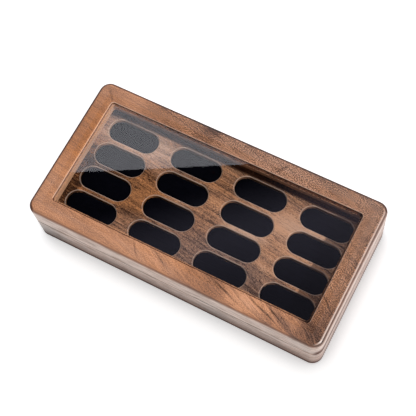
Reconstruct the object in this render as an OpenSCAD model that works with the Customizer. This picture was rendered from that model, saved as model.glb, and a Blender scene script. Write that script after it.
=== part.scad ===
// Ring display box: a walnut base block with velvet ring pads in milled pockets,
// and a glazed walnut lid on two recessed brass hinges, held shut by magnets.
// Millimetres, Z up, X along the length, hinges on the +Y side.
// The origin is the centre of the underside.

/* [Case] */
// Length of the closed box along X
box_l = 200; // [180:1:260]
// Depth of the closed box along Y
box_w = 100; // [90:1:130]
// Height of the closed box, base and lid together
box_h = 40; // [36:0.5:50]
// Height of the parting plane between the base and the lid
seam_z = 24; // [20:0.5:28]
// Open gap between the base and the closed lid
seam_gap = 0.3; // [0.2:0.05:0.5]
// Plan radius of the four upright corners
corner_r = 7; // [5:0.5:12]
// Radius of the round along the top edge of the lid
top_round = 3; // [1:0.5:4]
// Radius of the round along the bottom edge of the base
foot_round = 2; // [0.5:0.5:3]
// Chamfer along both edges of the seam
seam_chamfer = 0.4; // [0.2:0.1:0.8]

/* [Lid] */
// Width of the lid's rails beside the window, seen from above
rail_w = 12.4; // [11.4:0.2:16]
// Depth of the glass below the top of the lid
glass_recess = 0.9; // [0.5:0.1:1.5]
// Thickness of the glass
glass_t = 2.5; // [2:0.1:3]
// Gap round the edge of the glass
glass_gap = 0.3; // [0.2:0.1:0.6]
// Width of the ledge that carries the glass
ledge_w = 1.3; // [1:0.1:2]
// Thickness of the ledge
ledge_t = 3.9; // [3:0.1:4.5]
// How far the hollow under the ledge reaches outward past the window
hollow_margin = 3; // [2:0.5:3.5]
// Plan radius of the window's corners
window_r = 2; // [1.5:0.5:4]
// Radius of the round along the rim of the window
rim_round = 0.5; // [0.2:0.1:0.8]

/* [Pockets] */
// Number of pockets along the length
columns = 4; // [2:1:4]
// Number of pockets across the depth
rows = 4; // [2:1:4]
// Length of one pocket
pocket_l = 35; // [28:0.5:36]
// Width of one pocket, and the diameter of its round ends
pocket_w = 15.4; // [12:0.2:16]
// Depth of the pockets below the top of the base
pocket_depth = 17; // [13:0.5:18]
// Distance between pocket centres along the length
pitch_x = 45.7; // [42:0.1:46]
// Distance between pocket centres across the depth
pitch_y = 18.4; // [17:0.1:19]
// Chamfer round the mouth of each pocket
pocket_chamfer = 0.5; // [0.3:0.1:0.8]

/* [Pads] */
// Gap between a pad and the wall of its pocket
pad_gap = 0.15; // [0.1:0.05:0.3]
// Depth of the pad's top below the top of the base
pad_drop = 1; // [0.5:0.1:2]
// Chamfer round the top of a pad
pad_chamfer = 0.8; // [0.4:0.1:1.2]
// Width of the slit that holds a ring
slit_w = 0.6; // [0.4:0.1:1]
// Depth of the slit
slit_depth = 11; // [8:0.5:11.5]

/* [Hinges] */
// Distance of each hinge's middle from the end of the box
hinge_inset_x = 38; // [35:1:60]
// Length of a hinge along its pin
hinge_l = 22; // [18:1:26]
// Distance of the pin's axis in from the back face
pin_inset = 2; // [1.8:0.1:2.4]
// Radius of the knuckles
knuckle_r = 1.5; // [1.4:0.1:1.6]
// Number of knuckles on one hinge
knuckles = 5; // [3:2:5]
// End gap between two knuckles
knuckle_gap = 0.15; // [0.1:0.05:0.2]
// Radius of the hinge pin
pin_r = 0.7; // [0.6:0.05:0.8]
// Radial running clearance of the pin in the knuckles
pin_fit = 0.05; // [0.02:0.01:0.08]
// Thickness of the head at each end of the pin
pin_head_t = 0.3; // [0.2:0.1:0.4]
// Radius of the pin's heads
pin_head_r = 1.1; // [1:0.05:1.2]
// Thickness of a hinge leaf
leaf_t = 0.9; // [0.8:0.05:1]
// Reach of a hinge leaf from the pin's axis
leaf_reach = 6.2; // [5.6:0.1:6.4]
// Gap between a leaf and its mortise
leaf_gap = 0.1; // [0.05:0.05:0.2]
// Clearance of the wood round the knuckles
knuckle_clear = 0.3; // [0.2:0.05:0.4]
// Widest opening of the lid in degrees, where the bevels meet
lid_open = 100; // [90:1:110]
// Angle left between the two bevels of the open lid
bevel_spare = 0.5; // [0.3:0.1:1]

/* [Fixings] */
// Distance between the two screws of a leaf
screw_pitch = 14; // [10:0.5:16]
// Distance of the screws from the pin's axis
screw_reach = 4.2; // [4:0.1:4.4]
// Radius of a countersunk screw head
screw_head_r = 1.5; // [1.3:0.1:1.6]
// Radius of a screw's shank
screw_r = 0.7; // [0.6:0.05:0.8]
// Length of a screw
screw_l = 6; // [5:0.5:7]
// Gap round the shank in the leaf
screw_gap = 0.1; // [0.05:0.05:0.2]
// Radius of a magnet
magnet_r = 2.5; // [2:0.1:3]
// Thickness of a magnet
magnet_t = 2; // [1.5:0.5:3]
// Depth of a magnet's face below the wood
magnet_sink = 0.1; // [0.05:0.05:0.3]
// Gap round a magnet in its hole
magnet_gap = 0.05; // [0.02:0.01:0.1]
// Distance of the magnets in from the ends of the box
magnet_inset_x = 14; // [10:1:30]

/* [Hidden] */
$fn = 64;
walnut = [0.45, 0.29, 0.19];
brass = [0.80, 0.62, 0.30];
velvet = [0.06, 0.06, 0.09];
steel = [0.72, 0.72, 0.74];

// Overshoot of a cut past the face it opens
cut = 1;
base_top = seam_z - seam_gap / 2;
lid_bottom = seam_z + seam_gap / 2;
lid_h = box_h - lid_bottom;

window_l = box_l - 2 * rail_w;
window_w = box_w - 2 * rail_w;
glass_top = box_h - glass_recess;
glass_bottom = glass_top - glass_t;
ledge_bottom = glass_bottom - ledge_t;
hollow_l = window_l + 2 * hollow_margin;
hollow_w = window_w + 2 * hollow_margin;

pocket_floor = base_top - pocket_depth;
pad_h = pocket_depth - pad_drop;
pad_l = pocket_l - 2 * pad_gap;
pad_w = pocket_w - 2 * pad_gap;

hinge_x = box_l / 2 - hinge_inset_x;
pin_y = box_w / 2 - pin_inset;
knuckle_pitch = hinge_l / knuckles;
bevel = (lid_open + bevel_spare) / 2;
screw_y = pin_y - screw_reach;
magnet_x = box_l / 2 - magnet_inset_x;
magnet_y = (box_w / 2 + hollow_w / 2) / 2;

PAD_NODES = [for (c = [1:columns], r = [1:rows]) str("pad_c", c, "_r", r)];

// ---- shapes used by several pieces ----

// Block with round upright corners. Its child draws the outline of a cut across it,
// standing on z = 0 and $span wide, so edges can be rounded or chamfered all the way round.
module framed_block(length, depth, radius) {
    rotate([90, 0, 90])
        linear_extrude(length - 2 * radius, center = true)
            let ($span = depth) children();
    rotate([90, 0, 0])
        linear_extrude(depth - 2 * radius, center = true)
            let ($span = length) children();
    for (sx = [-1, 1], sy = [-1, 1])
        translate([sx * (length / 2 - radius), sy * (depth / 2 - radius), 0])
            rotate([0, 0, sy > 0 ? (sx > 0 ? 0 : 90) : (sx > 0 ? 270 : 180)])
                rotate_extrude(angle = 90)
                    intersection() {
                        let ($span = 2 * radius) children();
                        translate([0, -cut]) square([2 * radius, box_h + 2 * cut]);
                    }
}

// Outline h high with a round of radius r_top above and r_foot below, or chamfers instead
module edged_outline(h, r_top = 0, r_foot = 0, c_top = 0, c_foot = 0) {
    difference() {
        translate([-$span / 2, 0]) square([$span, h]);
        for (side = [-1, 1]) {
            if (r_top > 0) corner_waste(side, h, -1, r_top);
            if (r_foot > 0) corner_waste(side, 0, 1, r_foot);
            if (c_top > 0) chamfer_waste(side, h, c_top);
            if (c_foot > 0) chamfer_waste(side, 0, c_foot);
        }
    }
}

// What a round takes off an outline's corner; up is 1 for a foot and -1 for a top
module corner_waste(side, z, up, r) {
    difference() {
        translate([side * $span / 2, z]) square(2 * r, center = true);
        translate([side * ($span / 2 - r), z + up * r]) circle(r);
    }
}

// What a chamfer takes off an outline's corner
module chamfer_waste(side, z, c) {
    translate([side * $span / 2, z]) rotate(45) square(c * sqrt(2), center = true);
}

// Outline of a plain opening h high, whose mouth widens with a round of radius r
module flared_outline(h, r) {
    translate([-$span / 2, 0]) square([$span, h + cut]);
    for (side = [-1, 1])
        difference() {
            translate([side > 0 ? $span / 2 - cut : -$span / 2 - r, h - r]) square([r + cut, r + cut]);
            translate([side * ($span / 2 + r), h - r]) circle(r);
        }
}

// Rounded rectangle for plain openings and the glass
module rounded_plate(length, depth, radius, h) {
    framed_block(length, depth, radius) translate([-$span / 2, 0]) square([$span, h]);
}

// Upright bar with round ends
module slot_bar(length, width, h) {
    run = length - width;
    translate([-run / 2, -width / 2, 0]) cube([run, width, h]);
    for (side = [-1, 1]) translate([side * run / 2, 0, 0]) cylinder(h, d = width);
}

// Widening bar with round ends: width grows by 2 * c over its height c
module slot_flare(length, width, c) {
    run = length - width;
    rotate([90, 0, 90])
        linear_extrude(run, center = true)
            polygon([[-width / 2, 0], [width / 2, 0], [width / 2 + c, c], [-width / 2 - c, c]]);
    for (side = [-1, 1])
        translate([side * run / 2, 0, 0]) cylinder(c, r1 = width / 2, r2 = width / 2 + c);
}

// Places its child at every pocket's centre
module at_pocket(c, r) {
    translate([(c - (columns + 1) / 2) * pitch_x, (r - (rows + 1) / 2) * pitch_y, pocket_floor])
        children();
}

// Wedge that bevels the back edge of the base, so that the open lid has a face to rest on
module bevel_waste() {
    reach = pin_inset + cut;
    translate([0, pin_y, seam_z])
        rotate([90, 0, 90])
            linear_extrude(box_l + 2 * cut, center = true)
                polygon([[0, 0], [reach, 0], [reach, -reach * tan(bevel)]]);
}

// Room in the wood for one leaf, its knuckles and the pin's heads
module leaf_room() {
    room_l = hinge_l + 2 * (leaf_gap + pin_head_t);
    translate([-room_l / 2, pin_y - leaf_reach - leaf_gap, seam_z - leaf_t - seam_gap / 2])
        cube([room_l, leaf_reach + leaf_gap, leaf_t + seam_gap / 2 + cut]);
    translate([0, pin_y, seam_z])
        rotate([0, 90, 0]) cylinder(room_l, r = knuckle_r + knuckle_clear, center = true);
}

// Turns a shape of the base side over the parting plane onto the lid side
module on_lid_side() {
    translate([0, 0, seam_z]) mirror([0, 0, 1]) translate([0, 0, -seam_z]) children();
}

// Repeats its child at both screws of one leaf, at the leaf's face
module at_screws() {
    for (side = [-1, 1])
        translate([side * screw_pitch / 2, screw_y, base_top]) children();
}

// Places its child at the floor of one magnet's hole
module at_magnet(side) {
    translate([side * magnet_x, -magnet_y, base_top - magnet_sink - magnet_t]) children();
}

// Room in the base for its leaves, screws, magnets and back bevel; mirrored, the lid's
module fittings_room() {
    bevel_waste();
    for (side = [-1, 1]) {
        translate([side * hinge_x, 0, 0]) {
            leaf_room();
            at_screws() translate([0, 0, -screw_l]) cylinder(screw_l, r = screw_r);
        }
        at_magnet(side) cylinder(magnet_t + cut, r = magnet_r + magnet_gap);
    }
}

// One countersunk screw pointing down; grow widens it into its own hole
module screw_shape(grow = 0) {
    head_t = screw_head_r - screw_r;
    translate([0, 0, -head_t - grow]) cylinder(head_t + grow, r1 = screw_r, r2 = screw_head_r + grow);
    translate([0, 0, -screw_l]) cylinder(screw_l, r = screw_r + grow);
}

// One leaf of a hinge below the parting plane, with the knuckles whose number has this parity
module leaf(parity) {
    difference() {
        union() {
            translate([-hinge_l / 2, pin_y - leaf_reach, base_top - leaf_t])
                cube([hinge_l, leaf_reach - knuckle_r - knuckle_clear, leaf_t]);
            for (k = [0:knuckles - 1])
                if (k % 2 == parity) leaf_knuckle(k);
        }
        at_screws() screw_shape(screw_gap);
        translate([0, pin_y, seam_z])
            rotate([0, 90, 0]) cylinder(hinge_l + cut, r = pin_r + pin_fit, center = true);
    }
}

// Knuckle number k and the tongue that joins it to its leaf
module leaf_knuckle(k) {
    knuckle_l = knuckle_pitch - knuckle_gap;
    middle = (k + 0.5) * knuckle_pitch - hinge_l / 2;
    tongue = knuckle_r + knuckle_clear + cut;
    translate([middle, pin_y, seam_z])
        rotate([0, 90, 0]) cylinder(knuckle_l, r = knuckle_r, center = true);
    translate([middle - knuckle_l / 2, pin_y - tongue, base_top - leaf_t])
        cube([knuckle_l, tongue, leaf_t]);
}

// ---- pieces ----

module base_block() {
    color(walnut) difference() {
        framed_block(box_l, box_w, corner_r)
            edged_outline(base_top, r_foot = foot_round, c_top = seam_chamfer);
        for (c = [1:columns], r = [1:rows])
            at_pocket(c, r) {
                slot_bar(pocket_l, pocket_w, pocket_depth + cut);
                translate([0, 0, pocket_depth - pocket_chamfer])
                    slot_flare(pocket_l, pocket_w, pocket_chamfer + cut);
            }
        fittings_room();
    }
}

module pad(c, r) {
    body_h = pad_h - pad_chamfer;
    color(velvet) at_pocket(c, r) difference() {
        union() {
            slot_bar(pad_l, pad_w, body_h);
            translate([0, 0, pad_h])
                mirror([0, 0, 1])
                    slot_flare(pad_l - 2 * pad_chamfer, pad_w - 2 * pad_chamfer, pad_chamfer);
        }
        translate([-pad_l / 2 - cut, -slit_w / 2, pad_h - slit_depth])
            cube([pad_l + 2 * cut, slit_w, slit_depth + cut]);
    }
}

module base_magnet(side) {
    color(steel) at_magnet(side) cylinder(magnet_t, r = magnet_r);
}

module base_leaf(side) {
    color(brass) translate([side * hinge_x, 0, 0]) leaf(0);
}

module lid_leaf(side) {
    color(brass) translate([side * hinge_x, 0, 0]) on_lid_side() leaf(1);
}

module hinge_pin(side) {
    color(brass) translate([side * hinge_x, pin_y, seam_z])
        rotate([0, 90, 0]) {
            cylinder(hinge_l, r = pin_r, center = true);
            for (end = [-1, 1])
                translate([0, 0, end * (hinge_l - knuckle_gap + pin_head_t) / 2])
                    cylinder(pin_head_t, r = pin_head_r, center = true);
        }
}

module base_leaf_screws() {
    color(brass) for (side = [-1, 1])
        translate([side * hinge_x, 0, 0]) at_screws() screw_shape();
}

module lid_leaf_screws() {
    color(brass) on_lid_side() for (side = [-1, 1])
        translate([side * hinge_x, 0, 0]) at_screws() screw_shape();
}

module lid_frame() {
    color(walnut) difference() {
        translate([0, 0, lid_bottom])
            framed_block(box_l, box_w, corner_r)
                edged_outline(lid_h, r_top = top_round, c_foot = seam_chamfer);
        translate([0, 0, glass_bottom])
            framed_block(window_l, window_w, window_r)
                flared_outline(box_h - glass_bottom, rim_round);
        translate([0, 0, ledge_bottom - cut])
            rounded_plate(window_l - 2 * ledge_w, window_w - 2 * ledge_w, window_r, box_h);
        translate([0, 0, lid_bottom - cut])
            rounded_plate(hollow_l, hollow_w, window_r + hollow_margin, ledge_bottom - lid_bottom + cut);
        on_lid_side() fittings_room();
    }
}

module window_glass() {
    color([0.80, 0.90, 0.90, 0.35])
        translate([0, 0, glass_bottom])
            rounded_plate(window_l - 2 * glass_gap, window_w - 2 * glass_gap, window_r, glass_t);
}

module lid_magnet(side) {
    color(steel) on_lid_side() at_magnet(side) cylinder(magnet_t, r = magnet_r);
}

// ---- assembly ----

base_block();
for (c = [1:columns], r = [1:rows])
    pad(c, r);
base_magnet(-1);  // base_magnet_left
base_magnet(1);  // base_magnet_right
base_leaf(-1);  // hinge_left_base_leaf
lid_leaf(-1);  // hinge_left_lid_leaf
hinge_pin(-1);  // hinge_left_pin
base_leaf(1);  // hinge_right_base_leaf
lid_leaf(1);  // hinge_right_lid_leaf
hinge_pin(1);  // hinge_right_pin
base_leaf_screws();
lid_leaf_screws();
lid_frame();
window_glass();
lid_magnet(-1);  // lid_magnet_left
lid_magnet(1);  // lid_magnet_right
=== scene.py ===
# %% [markdown]
# # A walnut ring display box
#
# The box is a walnut block with sixteen milled pockets, each with a velvet pad for
# rings, under a glazed walnut lid on two small brass hinges. The solids come from the
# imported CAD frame: every rigid part keeps its CAD shape and gets a finish here. The
# velvet pads and the slotted screws are modelled anew, in place of their plain solids.

import math

import bpy
from mathutils import Matrix, Vector


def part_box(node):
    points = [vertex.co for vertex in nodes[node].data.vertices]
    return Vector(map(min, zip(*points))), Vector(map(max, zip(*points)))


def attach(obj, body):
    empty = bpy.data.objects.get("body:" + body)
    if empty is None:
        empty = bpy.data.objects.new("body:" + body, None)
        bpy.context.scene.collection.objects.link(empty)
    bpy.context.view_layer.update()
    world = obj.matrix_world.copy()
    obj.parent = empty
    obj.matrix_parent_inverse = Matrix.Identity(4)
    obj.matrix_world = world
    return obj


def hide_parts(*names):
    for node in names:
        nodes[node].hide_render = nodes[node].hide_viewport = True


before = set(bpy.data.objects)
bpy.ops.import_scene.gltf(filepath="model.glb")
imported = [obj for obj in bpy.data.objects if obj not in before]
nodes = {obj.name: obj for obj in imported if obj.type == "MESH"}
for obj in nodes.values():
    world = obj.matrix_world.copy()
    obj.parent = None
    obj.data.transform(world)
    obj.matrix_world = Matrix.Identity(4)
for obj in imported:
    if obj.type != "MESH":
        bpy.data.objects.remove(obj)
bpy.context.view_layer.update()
MM = 0.001


# %% [markdown]
# ## A few helpers
#
# An operator acts on everything that is selected, and the frame's nodes arrive selected,
# so each new piece starts by selecting nothing. The other helpers wire shader nodes, so
# that a finish reads as a recipe: which texture, at what scale, feeding what.

# %% Helpers for selecting and for wiring nodes
def select_only(*pieces):
    """Leaves object mode with just these pieces selected, the first one active."""
    if bpy.context.object and bpy.context.object.mode != "OBJECT":
        bpy.ops.object.mode_set(mode="OBJECT")
    bpy.ops.object.select_all(action="DESELECT")
    for piece in pieces:
        piece.select_set(True)
    bpy.context.view_layer.objects.active = pieces[0] if pieces else None


def add_node(tree, kind, inputs=None, **settings):
    """Adds a node of this kind and sets or links its inputs, by name or number."""
    made = tree.nodes.new(kind)
    for name, value in settings.items():
        setattr(made, name, value)
    for key, value in (inputs or {}).items():
        if isinstance(value, bpy.types.NodeSocket):
            tree.links.new(value, made.inputs[key])
        else:
            made.inputs[key].default_value = value
    return made


def reckon(tree, operation, *values, clamp=False):
    """One Math node on numbers or sockets, and its result."""
    made = add_node(tree, "ShaderNodeMath", dict(enumerate(values)), operation=operation)
    made.use_clamp = clamp
    return made.outputs[0]


def mix_colours(tree, share, first, second, blend_type="MIX"):
    """The second colour over the first, by share."""
    made = add_node(
        tree, "ShaderNodeMix", {0: share, 6: first, 7: second},
        data_type="RGBA", blend_type=blend_type,
    )
    return made.outputs[2]


print("helpers for selecting and for nodes ready")


# %% [markdown]
# A mask is a number from 0 to 1 that says where something happens, such as where wood is
# dark. It could be painted as an image, but a mask reckoned from place and direction is
# sharp at any size. Masks are multiplied to mean "and", and the largest means "or".

# %% Helpers for masks
def ease(tree, value, low, high):
    """0 where value is below low, 1 above high, and a soft step between them."""
    made = add_node(
        tree, "ShaderNodeMapRange",
        {"Value": value, "From Min": low, "From Max": high},
        interpolation_type="SMOOTHSTEP",
    )
    return made.outputs[0]


def product(tree, *values):
    """All the values multiplied."""
    result = values[0]
    for value in values[1:]:
        result = reckon(tree, "MULTIPLY", result, value)
    return result


def either(tree, *masks):
    """The largest of the masks."""
    result = masks[0]
    for mask in masks[1:]:
        result = reckon(tree, "MAXIMUM", result, mask)
    return result


def other_than(tree, mask):
    """1 where the mask is 0, and 0 where it is 1."""
    return reckon(tree, "SUBTRACT", 1.0, mask)


def minus(tree, value):
    """The value with its sign turned round."""
    return reckon(tree, "MULTIPLY", value, -1.0)


def from_to(tree, mask, at_0, at_1):
    """The mask stretched to run from at_0, where it is 0, to at_1, where it is 1."""
    return reckon(tree, "MULTIPLY_ADD", mask, at_1 - at_0, at_0)


def beyond(tree, value, low, high):
    """0 where value is closer to 0 than low on either side, 1 beyond high."""
    return ease(tree, reckon(tree, "ABSOLUTE", value), low, high)


def within(tree, value, low, high):
    """1 where value is closer to 0 than low on either side, 0 beyond high."""
    return other_than(tree, beyond(tree, value, low, high))


print("helpers for masks ready")


# %% [markdown]
# Every finish starts from a Principled shader and reads the object's own coordinates, so
# that its pattern stays with the piece when the lid swings. They are in metres, which
# makes tiny numbers, so they are turned into millimetres first.

# %% Helpers for finishes
def noise(tree, vector, scale, detail=2.0, roughness=0.5, distortion=0.0):
    """A noise from 0 to 1 in three dimensions."""
    made = add_node(
        tree, "ShaderNodeTexNoise",
        {"Vector": vector, "Scale": scale, "Detail": detail,
         "Roughness": roughness, "Distortion": distortion},
    )
    return made.outputs["Fac"]


def new_finish(name):
    """An empty material with its Principled shader wired to the output."""
    material = bpy.data.materials.new(name)
    material.use_nodes = True
    tree = material.node_tree
    tree.nodes.clear()
    shader = add_node(tree, "ShaderNodeBsdfPrincipled")
    add_node(tree, "ShaderNodeOutputMaterial", {"Surface": shader.outputs[0]})
    return material, tree, shader


def place_in_mm(tree):
    """Object coordinates in millimetres: the whole vector, and X, Y and Z apart."""
    place = add_node(tree, "ShaderNodeTexCoord").outputs["Object"]
    scaled = add_node(
        tree, "ShaderNodeVectorMath", {0: place, "Scale": 1 / MM}, operation="SCALE"
    ).outputs[0]
    return scaled, add_node(tree, "ShaderNodeSeparateXYZ", {0: scaled}).outputs


def vector_of(tree, x, y, z):
    """A vector from its three parts."""
    return add_node(tree, "ShaderNodeCombineXYZ", {0: x, 1: y, 2: z}).outputs[0]


print("helpers for finishes ready")


# %% [markdown]
# ## The camera
#
# The box is seen from above and to the right of its front, with the camera rolled a
# little. A camera looks along its own minus Z, so its matrix is built from the three
# directions of the view, and the lens follows from the width of the image.

# %% Aim the camera
CAMERA_AZIMUTH = 38.539
CAMERA_ELEVATION = 67.615
CAMERA_ROLL = -11.459
CAMERA_TARGET = Vector((-8.48, 12.81, 0)) * MM
CAMERA_DISTANCE = 650.8 * MM
SENSOR_WIDTH = 36
FIELD_IN_PIXELS = 416
FOCAL_IN_PIXELS = 1002.07


def aim_camera():
    """The camera at its place, looking at its target, and made the scene's camera."""
    azimuth, elevation = map(math.radians, (CAMERA_AZIMUTH, CAMERA_ELEVATION))
    toward_camera = Vector((
        math.sin(azimuth) * math.cos(elevation),
        -math.cos(azimuth) * math.cos(elevation),
        math.sin(elevation),
    ))
    right = (-toward_camera).cross(Vector((0, 0, 1))).normalized()
    up = toward_camera.cross(right)
    turn = Matrix.Rotation(math.radians(CAMERA_ROLL), 3, "Z")
    axes = Matrix((right, up, toward_camera)).transposed() @ turn
    lens = bpy.data.cameras.new("camera")
    lens.sensor_width = SENSOR_WIDTH
    lens.lens = SENSOR_WIDTH * FOCAL_IN_PIXELS / FIELD_IN_PIXELS
    lens.clip_start = 0.01
    camera = bpy.data.objects.new("camera", lens)
    bpy.context.scene.collection.objects.link(camera)
    place = CAMERA_TARGET + toward_camera * CAMERA_DISTANCE
    camera.matrix_world = Matrix.Translation(place) @ axes.to_4x4()
    bpy.context.scene.camera = camera
    return camera


camera = aim_camera()
bpy.context.scene.view_settings.view_transform = "Standard"
print("camera at", [round(v, 3) for v in camera.matrix_world.translation])


# %% [markdown]
# ## The table
#
# A matt white table. It glows a little by itself, so that it is white without more light
# on the box. Ambient occlusion finds where the box is close, and takes the glow away
# there, a painted contact shadow that leaves a soft dark line at the foot of the box. What
# the sides of the box mirror is shaded more deeply than what the camera sees, apart from
# the strip in front of the right end, where a painted glow stands in for the lamp.

# %% Lay the table
FLOOR_SIZE = 8.0
FLOOR_WHITE = 0.8
FLOOR_GLOW = 0.80
CONTACT_REACH = 14 * MM
CONTACT_SAMPLES = 24
CONTACT_OPEN = (0.35, 1.0)
CONTACT_SEEN = 0.45
CONTACT_MIRRORED = 1.0
KEY_GLOW_STRIP = (96, 103)
KEY_GLOW_PAINTED = 0.9


def white_table():
    """A matt white floor with a glow of its own, which fades where the box stands."""
    select_only()
    bpy.ops.mesh.primitive_plane_add(size=FLOOR_SIZE, location=(0, 0, 0))
    table = bpy.context.object
    table.name = "table"
    material = bpy.data.materials.new("table_white")
    material.use_nodes = True
    tree = material.node_tree
    tree.nodes.clear()
    white = (FLOOR_WHITE, FLOOR_WHITE, FLOOR_WHITE, 1)
    matt = add_node(tree, "ShaderNodeBsdfDiffuse", {"Color": white})
    nearby = add_node(
        tree, "ShaderNodeAmbientOcclusion", {"Distance": CONTACT_REACH},
        samples=CONTACT_SAMPLES,
    )
    # Painted contact shadow: the glow fades where the box is close.
    covered = other_than(tree, ease(tree, nearby.outputs["AO"], *CONTACT_OPEN))
    seen = add_node(tree, "ShaderNodeLightPath").outputs["Is Camera Ray"]
    _place, (x, _y, _z) = place_in_mm(tree)
    # Painted light: mirrored rays see the strip in front of the right end glow, standing in for
    # the lamp, which leaves the table out.
    lit = product(tree, ease(tree, x, *KEY_GLOW_STRIP), KEY_GLOW_PAINTED, other_than(tree, seen))
    depth = from_to(tree, seen, CONTACT_MIRRORED, CONTACT_SEEN)
    depth = reckon(tree, "SUBTRACT", depth, lit)
    strength = from_to(tree, product(tree, covered, depth), FLOOR_GLOW, 0.0)
    glow = add_node(tree, "ShaderNodeEmission", {"Strength": strength})
    both = add_node(tree, "ShaderNodeAddShader", {0: matt.outputs[0], 1: glow.outputs[0]})
    add_node(tree, "ShaderNodeOutputMaterial", {"Surface": both.outputs[0]})
    table.data.materials.append(material)
    return table


table = white_table()
print("table laid:", FLOOR_SIZE, "m wide")


# %% [markdown]
# ## Lamps
#
# The main light is a lamp far to the right. A sun lamp does for it, since its light is the
# same all over the box. Light linking leaves the table out, so that the box lies in a
# soft shadow only.

# %% Set the lamp on the right
KEY_SHARE = 0.72
KEY_TOWARD = Vector((1, 0.056, 1)).normalized()
KEY_SPREAD = math.radians(1.2)


def key_lamp():
    """The lamp on the right, which gives a level white surface KEY_SHARE of its white."""
    lamp = bpy.data.lights.new("key", "SUN")
    lamp.energy = KEY_SHARE * math.pi / KEY_TOWARD.z
    lamp.angle = KEY_SPREAD
    key = bpy.data.objects.new("key", lamp)
    bpy.context.scene.collection.objects.link(key)
    key.matrix_world = KEY_TOWARD.to_track_quat("Z", "Y").to_matrix().to_4x4()
    left_out = bpy.data.collections.new("not_lit_by_key")
    left_out.objects.link(table)
    key.light_linking.receiver_collection = left_out
    left_out.collection_objects[0].light_linking.link_state = "EXCLUDE"
    return key


key = key_lamp()
print("key lamp:", round(key.data.energy, 2), "W/m2")


# %% [markdown]
# A large softbox hangs behind the left end, and the glass mirrors it as a pale haze. Its
# near edge could be found by trial, but a mirror's law gives it at once: from the
# camera's mirror image below the glass, a line through a point on the glass meets the
# softbox where that point shows it. Two points on the glass give the whole edge.

# %% Hang the softbox
SOFTBOX_HEIGHT = 1.2
SOFTBOX_LENGTH = 1.8
SOFTBOX_DEPTH = 1.2
SOFTBOX_GLOW = 1.33
SOFTBOX_TINT = (0.98, 0.98, 1.07)
HAZE_EDGE = (Vector((-86, -16, 0)) * MM, Vector((10, 37, 0)) * MM)


def softbox():
    """A flat softbox whose near edge is mirrored in the glass along HAZE_EDGE."""
    glass_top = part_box("window_glass")[1].z
    eye = camera.matrix_world.translation.copy()
    mirrored_eye = Vector((eye.x, eye.y, 2 * glass_top - eye.z))
    ends = []
    for point in HAZE_EDGE:
        on_glass = Vector((point.x, point.y, glass_top))
        ray = on_glass - mirrored_eye
        ends.append(on_glass + ray * (SOFTBOX_HEIGHT - glass_top) / ray.z)
    along = (ends[1] - ends[0]).normalized()
    away = Vector((-along.y, along.x, 0))
    lamp = bpy.data.lights.new("softbox", "AREA")
    lamp.shape = "RECTANGLE"
    lamp.size = SOFTBOX_LENGTH
    lamp.size_y = SOFTBOX_DEPTH
    lamp.color = SOFTBOX_TINT
    lamp.energy = SOFTBOX_GLOW * math.pi * SOFTBOX_LENGTH * SOFTBOX_DEPTH
    box = bpy.data.objects.new("softbox", lamp)
    bpy.context.scene.collection.objects.link(box)
    middle = (ends[0] + ends[1]) / 2 + away * SOFTBOX_DEPTH / 2
    turn = Matrix.Rotation(math.atan2(along.y, along.x), 4, "Z")
    box.matrix_world = Matrix.Translation(middle) @ turn
    box.visible_camera = False
    edge_slope = (ends[0] - HAZE_EDGE[0]) / (SOFTBOX_HEIGHT - glass_top)
    return box, edge_slope, away


big_softbox, edge_slope, softbox_side = softbox()
print("softbox at", [round(v, 2) for v in big_softbox.matrix_world.translation])


# %% [markdown]
# ## Fill
#
# The world lights matt surfaces evenly from all around. To the camera, and through the
# glass, it is plain white. A polished surface mirrors white at the sides and a dark
# ceiling overhead, as in a studio, so the glass stays clear. Beside the softbox the
# ceiling gleams faintly, and the haze in the glass fades out instead of ending there.

# %% Fill from all around
FILL = 0.33
DARK_CEILING = 0.004
CEILING_GLEAM = 0.245
GLEAM_LEAN = 0.2625
GLEAM_RISES = (0.060, 0.145)
GLEAM_FALLS = (0.06, 0.16)
GLEAM_AFTER = 0.4
OVERHEAD = (0.25, 0.7)
GLEAM_TINT = (0.95, 0.90, 1.22, 1)


def ceiling_gleam(tree, x, y, z):
    """How bright the ceiling looks beside the softbox: dark along its edge, then a gleam."""
    slope_x = reckon(tree, "SUBTRACT", reckon(tree, "DIVIDE", x, z), edge_slope.x)
    slope_y = reckon(tree, "SUBTRACT", reckon(tree, "DIVIDE", y, z), edge_slope.y)
    past_edge = reckon(
        tree, "MULTIPLY_ADD", slope_x, -softbox_side.x,
        reckon(tree, "MULTIPLY", slope_y, -softbox_side.y),
    )
    leaning = reckon(tree, "MULTIPLY_ADD", slope_x, GLEAM_LEAN, past_edge)
    falling = from_to(tree, ease(tree, past_edge, *GLEAM_FALLS), 1.0, GLEAM_AFTER)
    gleam = product(tree, ease(tree, leaning, *GLEAM_RISES), falling)
    return reckon(tree, "MULTIPLY_ADD", gleam, CEILING_GLEAM, DARK_CEILING)


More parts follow.
